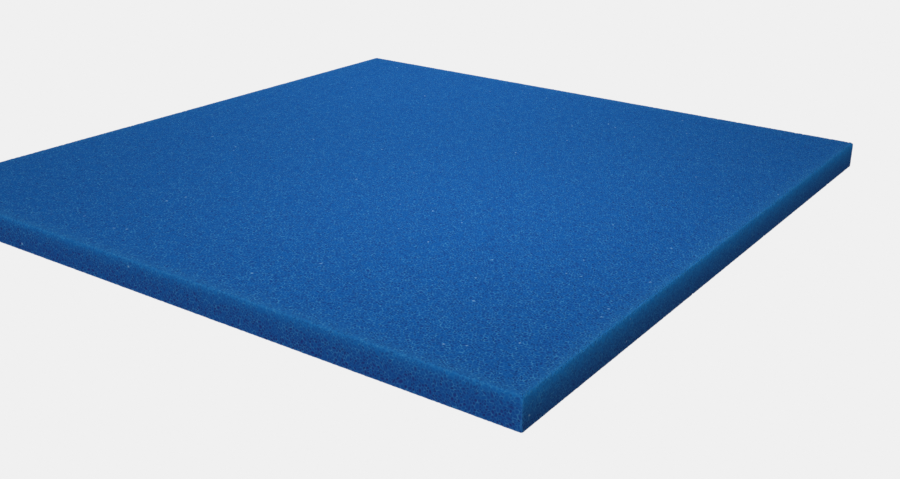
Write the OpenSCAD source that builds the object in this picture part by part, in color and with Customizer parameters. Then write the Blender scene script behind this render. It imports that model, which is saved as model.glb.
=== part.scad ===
// Filter foam mat: one flat square sheet of coarse open-cell foam, as used
// in pond filters and aquarium sumps.
//
// The sheet lies flat on its lower face. The origin is the middle of that
// face, X and Y run along the cut edges, and Z is the thickness.
//
// The foam is drawn as one closed solid of the sheet's outer shape. Its
// cells run right through it and aren't drawn here.

/* [Sheet] */
// Length of the sheet along X
mat_length = 500; // [200:5:1000]
// Width of the sheet along Y
mat_width = 500; // [200:5:1000]
// Thickness of the sheet
mat_thickness = 20; // [10:1:100]

/* [Cut edges] */
// Radius of the four upright corners, left by the cutting blade
corner_radius = 1.5; // [0.5:0.5:20]
// Radius that the soft cells round off along the upper and lower edges
edge_radius = 1; // [0.5:0.25:4]

/* [Hidden] */
$fn = 48;
foam_blue = [0.13, 0.36, 0.62];

// A length by width rectangle about the origin, with round corners.
// It is two crossed rectangles and four discs, so its sides stay straight
// and its corners stay true arcs.
module rounded_rectangle(length, width, radius) {
    square([length - 2 * radius, width], center = true);
    square([length, width - 2 * radius], center = true);
    for (x = [-1, 1], y = [-1, 1])
        translate([x * (length / 2 - radius), y * (width / 2 - radius)])
            circle(r = radius);
}

// The sheet as it is cut: its plan, its long section and its cross section
// are each pushed through the block, and the foam is what all three share.
module foam_mat() {
    color(foam_blue)
        intersection() {
            linear_extrude(height = mat_thickness)
                rounded_rectangle(mat_length, mat_width, corner_radius);
            translate([0, 0, mat_thickness / 2])
                rotate([90, 0, 0])
                    linear_extrude(height = mat_width, center = true)
                        rounded_rectangle(mat_length, mat_thickness, edge_radius);
            translate([0, 0, mat_thickness / 2])
                rotate([90, 0, 90])
                    linear_extrude(height = mat_length, center = true)
                        rounded_rectangle(mat_width, mat_thickness, edge_radius);
        }
}

foam_mat();
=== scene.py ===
import math
import random

import bmesh
import bpy
from mathutils import Matrix, Vector


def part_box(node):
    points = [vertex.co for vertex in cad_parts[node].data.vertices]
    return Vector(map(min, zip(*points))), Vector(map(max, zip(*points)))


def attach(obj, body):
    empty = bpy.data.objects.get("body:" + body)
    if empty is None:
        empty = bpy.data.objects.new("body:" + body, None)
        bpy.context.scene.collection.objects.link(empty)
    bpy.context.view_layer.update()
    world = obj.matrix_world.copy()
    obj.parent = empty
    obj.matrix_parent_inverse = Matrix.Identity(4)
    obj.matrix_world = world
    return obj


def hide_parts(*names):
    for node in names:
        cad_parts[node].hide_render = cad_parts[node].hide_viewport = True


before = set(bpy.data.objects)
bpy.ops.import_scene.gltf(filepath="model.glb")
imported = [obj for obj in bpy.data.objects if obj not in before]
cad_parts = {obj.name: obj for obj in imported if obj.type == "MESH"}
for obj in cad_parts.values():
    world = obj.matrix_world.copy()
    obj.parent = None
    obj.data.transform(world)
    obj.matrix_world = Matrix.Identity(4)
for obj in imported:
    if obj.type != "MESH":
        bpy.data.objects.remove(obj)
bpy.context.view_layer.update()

MM = 0.001
scene = bpy.context.scene


# ---- The camera ---------------------------------------------------------
# It stands off the mat's front corner, a little above it, and looks down over the corner
# to the far one. Its place is given in sides of the mat, from the middle of its lower face.

mat_low, mat_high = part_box("foam_mat")
mat_size = mat_high - mat_low
mat_middle = (mat_low + mat_high) / 2
mat_foot = Vector((mat_middle.x, mat_middle.y, mat_low.z))

camera_sides = Vector((0.9769, -1.2711, 0.5638))
camera_turn = math.radians(33.07)
camera_down = math.radians(21.89)
camera_roll = math.radians(1.12)
camera_lens = 44.62
camera_shift = Vector((-0.0592, -0.0033))

camera = bpy.data.objects.new("camera", bpy.data.cameras.new("camera"))
scene.collection.objects.link(camera)
camera.data.sensor_width = 36
camera.data.lens = camera_lens
camera.data.shift_x, camera.data.shift_y = camera_shift
camera.data.clip_start = 10 * MM
camera.matrix_world = (
    Matrix.Translation(mat_foot + camera_sides * mat_size.x)
    @ Matrix.Rotation(camera_turn, 4, "Z")
    @ Matrix.Rotation(math.pi / 2 - camera_down, 4, "X")
    @ Matrix.Rotation(camera_roll, 4, "Z")
)
scene.camera = camera


# ---- The foam mat -------------------------------------------------------
# One sheet of reticulated polyurethane foam. A block is blown, its cell walls are burnt
# out, and a blade cuts the sheet from it, so its skin is a net of struts round open pits.

# A coarse grade, of about 14 cells to the inch.
CELL = 1.8 * MM

# How far a grid point may stray, in squares, and how near an edge a cell wraps round it.
UNEVEN = 0.38
WRAPPED = 0.35 * CELL

# The deepest pit, the shallowest as a share of it, and how far a strut may lie back.
PIT_DEPTH = 0.55 * MM
SHALLOWEST = 0.3
LOOSE_STRUT = 0.15 * MM

# The share of the struts between two single cells that are gone, about one in 18 of all the
# struts, and the share of the cells with under six corners that kept a film of foam.
GONE_STRUTS = 0.08
KEPT_FILMS = 0.0025

# How round the edges are worn.
UPPER_EDGE = 2.5 * MM
UPRIGHT_EDGE = 0.8 * MM

# How far the painted edge light reaches from the upper edges, on the top, on a front and on an end; it
# stands in for light let through the foam there. The upright edges get less of it, and less far. Each
# strut's own share varies.
TOP_LIGHT_REACH = 4.5 * MM
FRONT_LIGHT_REACH = 4 * MM
END_LIGHT_REACH = 9.5 * MM
UPRIGHT_LIGHT_REACH = 2 * MM
UPRIGHT_LIGHT_SHARE = 0.3
EDGE_LIGHT_SPREAD = 0.7, 1.15


def cell_net(low, high, cell, chance):
    """A closed box whose skin is a net of cells of uneven shape, about one cell apart."""
    net = bmesh.new()
    size = high - low
    # Each square of the grid becomes three cells, of this area together.
    square = cell * math.sqrt(1.5 * math.sqrt(3))
    bmesh.ops.create_cube(net, size=1)
    bmesh.ops.scale(net, verts=net.verts, vec=size)
    bmesh.ops.translate(net, verts=net.verts, vec=(low + high) / 2)
    for axis in range(3):
        along = [e for e in net.edges if abs((e.verts[0].co - e.verts[1].co)[axis]) > cell / 10]
        cuts = round(size[axis] / square) - 1
        bmesh.ops.subdivide_edges(net, edges=along, cuts=cuts, use_grid_fill=True)
    for vert in net.verts:
        for axis in range(3):
            if low[axis] + cell / 10 < vert.co[axis] < high[axis] - cell / 10:
                vert.co[axis] += chance.uniform(-UNEVEN, UNEVEN) * square
    bmesh.ops.triangulate(net, faces=net.faces, quad_method="BEAUTY", ngon_method="BEAUTY")
    bmesh.ops.bevel(net, geom=net.verts[:], offset=100 / 3, offset_type="PERCENT",
                    affect="VERTICES", segments=1, profile=0.5, material=-1)
    # The net is evened out, but what lies in a side or on an edge of the box stays there.
    held = [(vert, axis, side[axis]) for vert in net.verts for axis in range(3) for side in (low, high)
            if abs(vert.co[axis] - side[axis]) < cell / 1000]
    for _ in range(2):
        bmesh.ops.smooth_vert(net, verts=net.verts, factor=0.5,
                              use_axis_x=True, use_axis_y=True, use_axis_z=True)
    for vert, axis, side in held:
        vert.co[axis] = side
    return net


def join_cells(net, share, chance):
    """Takes out single struts, so that some pairs of cells open into one long one."""
    net.normal_update()
    joined, gone = set(), []
    for edge in net.edges:
        one, other = edge.link_faces
        free = one not in joined and other not in joined
        in_line = one.normal.dot(other.normal) > 0.98
        if free and in_line and chance.random() < share:
            joined.update((one, other))
            gone.append(edge)
    bmesh.ops.dissolve_edges(net, edges=gone, use_verts=True)


def add_middles(net, low, high, reach):
    """Puts a point in the middle of each cell, on the edge itself where a cell wraps round one."""
    middles = bmesh.ops.poke(net, faces=net.faces, offset=0, center_mode="MEAN")["verts"]
    wrapped = set()
    for vert in middles:
        near = [(axis, side[axis]) for axis in range(3) for side in (low, high)
                if abs(vert.co[axis] - side[axis]) < reach]
        if len(near) > 1:
            wrapped.add(vert)
            for axis, side in near:
                vert.co[axis] = side
    return set(middles), wrapped


def wear_edges(net, low, high, upper, upright):
    """Rounds the upper edges and the upright ones, each to its own radius."""
    for one, other, radius in ((0, 1, upright), (0, 2, upper), (1, 2, upper)):
        for vert in net.verts:
            off = [vert.co[axis] - max(low[axis] + radius, min(high[axis] - radius, vert.co[axis]))
                   for axis in (one, other)]
            length = math.hypot(*off)
            if length > radius and (other == 1 or off[1] > 0):
                vert.co[one] += off[0] * (radius / length - 1)
                vert.co[other] += off[1] * (radius / length - 1)


def edge_light_at(place, normal, low, high):
    """How much painted edge light, standing in for light let through the foam, lies at a place. It is
    1 on the upper edges and less away from them, and a little on the upright ones."""
    x = min(place.x - low.x, high.x - place.x)
    y = min(place.y - low.y, high.y - place.y)
    from_upper = max(min(x, y), high.z - place.z)
    reach = FRONT_LIGHT_REACH + (END_LIGHT_REACH - FRONT_LIGHT_REACH) * abs(normal.x)
    if normal.z > 0.7:
        reach = TOP_LIGHT_REACH
    from_upright = max(x, y)
    return max(math.exp(-from_upper / reach),
               UPRIGHT_LIGHT_SHARE * math.exp(-from_upright / UPRIGHT_LIGHT_REACH))


# What each point of the skin carries: whether it lies on a strut, how bright a painted gleam the strut
# has, whether a film of foam was left there, how hollow the pit is (which also sets its painted
# shade), how much painted edge light it has, and how far it faces each way.
NOTES = ("strut", "painted_gleam", "film", "hollow", "edge_light", "front", "end")


def open_pits(net, middles, wrapped, low, high, chance):
    """Sinks the middles into pits, and notes on each point what the material needs to know. A few more
    pits are shallow than deep, and few struts get a bright painted gleam."""
    strut, painted_gleam, film, hollow, edge_light, front, end = [net.verts.layers.float[name] for name in NOTES]
    net.normal_update()
    sunk = []
    for vert in net.verts:
        pitted = vert in middles and vert not in wrapped
        has_film = pitted and len(vert.link_edges) < 6 and chance.random() < KEPT_FILMS
        if pitted and not has_film:
            # How hollow a pit is sets its depth, and how much painted shade the material puts in it.
            vert[hollow] = chance.random() ** 1.2
            depth = PIT_DEPTH * (SHALLOWEST + (1 - SHALLOWEST) * vert[hollow])
            sunk.append((vert, vert.normal * depth))
        elif pitted:
            vert[strut] = vert[painted_gleam] = vert[film] = 1
        else:
            vert[strut] = 1
            # A strut's gleam is a painted highlight.
            vert[painted_gleam] = 0 if vert in wrapped else chance.random() ** 3
            sunk.append((vert, vert.normal * chance.uniform(0, LOOSE_STRUT)))
        vert[end], vert[front] = abs(vert.normal.x), abs(vert.normal.y)
        # Painted edge light: light let through the foam near the upper edges, fading downwards.
        vert[edge_light] = edge_light_at(vert.co, vert.normal, low, high) * chance.uniform(*EDGE_LIGHT_SPREAD)
    for vert, way in sunk:
        vert.co -= way
        for axis in range(3):
            vert.co[axis] = min(max(vert.co[axis], low[axis]), high[axis])


chance = random.Random(20)
foam = cell_net(mat_low, mat_high, CELL * (1), chance)
join_cells(foam, GONE_STRUTS, chance)
for name in NOTES:
    foam.verts.layers.float.new(name)
middles, wrapped = add_middles(foam, mat_low, mat_high, WRAPPED)
wear_edges(foam, mat_low, mat_high, UPPER_EDGE, UPRIGHT_EDGE)
open_pits(foam, middles, wrapped, mat_low, mat_high, chance)
mesh = bpy.data.meshes.new("foam_mat_skin")
foam.to_mesh(mesh)
foam.free()
foam_mat = bpy.data.objects.new("foam_mat_skin", mesh)
scene.collection.objects.link(foam_mat)


def linear(code):
    """The linear colour of an sRGB hex code."""
    parts = [int(code[i:i + 2], 16) / 255 for i in (1, 3, 5)]
    return (*[c / 12.92 if c <= 0.04045 else ((c + 0.055) / 1.055) ** 2.4 for c in parts], 1)


def add(tree, kind, inputs=(), **settings):
    """Adds a shader node. inputs maps each of its sockets to a value or to another node's output."""
    made = tree.nodes.new("ShaderNode" + kind)
    for name, value in settings.items():
        setattr(made, name, value)
    for name, value in dict(inputs).items():
        if isinstance(value, bpy.types.NodeSocket):
            tree.links.new(value, made.inputs[name])
        else:
            made.inputs[name].default_value = value
    return made


# A front is a cut side that faces along y, and an end is one that faces along x.
# The fronts' and ends' pit and edge blues are lit and shaded copies of the top's: painted light and
# shade.
TOP_PIT, FRONT_SHADED_PIT, END_SHADED_PIT = "#175EAE", "#1A519D", "#26488C"
TOP_EDGE_LIGHT, FRONT_EDGE_LIGHT, END_EDGE_LIGHT = "#2C70B0", "#1C80D2", "#28A2FF"
# SHADOW is painted shade, mixed into the hollow pits.
SHADOW = "#2A2670"
STRUT_AND_HIGHLIGHT_BLUE, FILM_GLINT_WHITE = "#57AFE1", "#8CB0DE"

# Reticulated polyurethane foam, dyed blue. The struts are pale, with a painted highlight in clumps,
# over pits of a deeper blue with painted shade in the hollows. Towards the upper edges a painted light
# stands in for light let through the foam, so the edges look pale, and the sides are painted darker
# down from there.
foam_stuff = bpy.data.materials.new("blue_reticulated_polyurethane_foam")
foam_stuff.use_nodes = True
tree = foam_stuff.node_tree
tree.nodes.clear()
strut, painted_gleam, film, hollow, edge_light, front, end = [
    add(tree, "Attribute", attribute_name=name).outputs["Fac"] for name in NOTES]

# How much of the strut colour shows, which is partly their own pale tone and partly a painted
# highlight: along the struts, on those with a painted gleam, in clumps, and less on the cut sides.
at = add(tree, "TexCoord").outputs["Object"]
clumps = add(tree, "TexNoise", {"Vector": at, "Scale": 1 / (6 * MM), "Detail": 2, "Roughness": 0.6})
clump = add(tree, "MapRange", {"Value": clumps.outputs[0], "From Min": 0.35, "From Max": 0.7,
                               "To Min": 0.55, "To Max": 0.8}).outputs[0]
thread = add(tree, "MapRange", {"Value": strut, "From Min": 0.6, "From Max": 0.95}).outputs[0]
shine = add(tree, "MapRange", {"Value": painted_gleam, "To Min": 0.15, "To Max": 1}).outputs[0]
shining = add(tree, "Math", {0: thread, 1: shine}, operation="MULTIPLY").outputs[0]
clumped = add(tree, "Math", {0: shining, 1: clump}, operation="MULTIPLY").outputs[0]
cut_side = add(tree, "Math", {0: front, 1: end}, operation="ADD", use_clamp=True).outputs[0]
fainter = add(tree, "MapRange", {"Value": cut_side, "To Min": 1, "To Max": 0.65}).outputs[0]
shown = add(tree, "Math", {0: clumped, 1: fainter}, operation="MULTIPLY").outputs[0]

# The blue of the pits goes by the way they face: painted shade makes the cut sides darker than the
# top, and the ends darkest. The hollow ones get painted shade, most of all on the cut sides.
front_shaded_pit = add(tree, "Mix", {0: front, 6: linear(TOP_PIT), 7: linear(FRONT_SHADED_PIT)},
               data_type="RGBA").outputs[2]
facing_shaded_pit = add(tree, "Mix", {0: end, 6: front_shaded_pit, 7: linear(END_SHADED_PIT)}, data_type="RGBA").outputs[2]
shade = add(tree, "MapRange", {"Value": cut_side, "To Min": 0.6, "To Max": 1}).outputs[0]
painted_pit_shade = add(tree, "Math", {0: hollow, 1: shade}, operation="MULTIPLY").outputs[0]
pit = add(tree, "Mix", {0: painted_pit_shade, 6: facing_shaded_pit, 7: linear(SHADOW)}, data_type="RGBA").outputs[2]

# The painted edge light goes by the way it faces too, brightest on the ends, and lies over the pits
# towards the edges.
flat_edge_light = add(tree, "Mix", {0: front, 6: linear(TOP_EDGE_LIGHT), 7: linear(FRONT_EDGE_LIGHT)},
                data_type="RGBA").outputs[2]
edge_light_blue = add(tree, "Mix", {0: end, 6: flat_edge_light, 7: linear(END_EDGE_LIGHT)}, data_type="RGBA").outputs[2]
share = add(tree, "Math", {0: edge_light, 1: 0.85}, operation="MULTIPLY").outputs[0]
edge_lit = add(tree, "Mix", {0: share, 6: pit, 7: edge_light_blue}, data_type="RGBA").outputs[2]

# The few films left in the net are painted as pale glints, the light they throw back. An open net of
# thin struts has no skin to shine, so the shader has no gloss at all; the glints of struts and films
# are painted into its colour.
net = add(tree, "Mix", {0: shown, 6: edge_lit, 7: linear(STRUT_AND_HIGHLIGHT_BLUE)}, data_type="RGBA").outputs[2]
blue = add(tree, "Mix", {0: film, 6: net, 7: linear(FILM_GLINT_WHITE)}, data_type="RGBA").outputs[2]
skin = add(tree, "BsdfPrincipled", {
    "Base Color": blue,
    "Roughness": 0.6,
    "IOR": 1.5,
    "Specular IOR Level": 0,
})
add(tree, "OutputMaterial", {"Surface": skin.outputs["BSDF"]})

mesh.materials.append(foam_stuff)
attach(foam_mat, "root")
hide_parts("foam_mat")


# ---- The studio ---------------------------------------------------------
# A pale table top that runs out to a round pale wall, both glowing evenly from within, so
# that the mat lies on plain white from every side and throws no shadow on it.

STUDIO_RADIUS = 30
WALL_HEIGHT = 20

table = bmesh.new()
bmesh.ops.create_circle(table, cap_ends=True, segments=64, radius=STUDIO_RADIUS)
wall = bmesh.ops.extrude_edge_only(table, edges=table.edges)["geom"]
rim = [part for part in wall if isinstance(part, bmesh.types.BMVert)]
bmesh.ops.translate(table, verts=rim, vec=(0, 0, WALL_HEIGHT))
bmesh.ops.translate(table, verts=table.verts, vec=(0, 0, mat_low.z))
studio = bpy.data.objects.new("studio", bpy.data.meshes.new("studio"))
table.to_mesh(studio.data)
table.free()
scene.collection.objects.link(studio)

# It throws no light back on the mat, and isn't sampled as a lamp.
studio.visible_diffuse = False
paint = bpy.data.materials.new("white_light_panel")
paint.use_nodes = True
panel = paint.node_tree.nodes["Principled BSDF"].inputs
panel["Base Color"].default_value = (0, 0, 0, 1)
panel["Roughness"].default_value = 1
panel["Specular IOR Level"].default_value = 0
panel["Emission Color"].default_value = (1, 1, 1, 1)
panel["Emission Strength"].default_value = 0.871
paint.cycles.emission_sampling = "NONE"
studio.data.materials.append(paint)


# ---- The lamps ----------------------------------------------------------
# Two small lamps hang over the mat, a stronger one stands in front of it, and an even light
# comes from all round.


def small_lamp(name, place, strength):
    """A bare lamp at place that shines to all sides. strength is in watts."""
    lamp = bpy.data.objects.new(name, bpy.data.lights.new(name, "POINT"))
    lamp.data.shadow_soft_size = 5 * MM
    lamp.data.energy = strength
    lamp.matrix_world = Matrix.Translation(place)
    scene.collection.objects.link(lamp)


small_lamp("far_lamp", mat_middle + Vector((-0.16, 0.22, 0.38)), 2.5)
small_lamp("near_lamp", mat_middle + Vector((0.11, -0.09, 0.29)), 1.28)
small_lamp("front_lamp", mat_middle + Vector((0.2, -1.5, 0.45)), 23.4)

world = bpy.data.worlds.new("even_light")
world.use_nodes = True
world.node_tree.nodes["Background"].inputs["Color"].default_value = (1, 1, 1, 1)
world.node_tree.nodes["Background"].inputs["Strength"].default_value = 0.30
world.cycles.sampling_method = "NONE"
scene.world = world
scene.view_settings.view_transform = "Standard"
scene.cycles.use_denoising = False
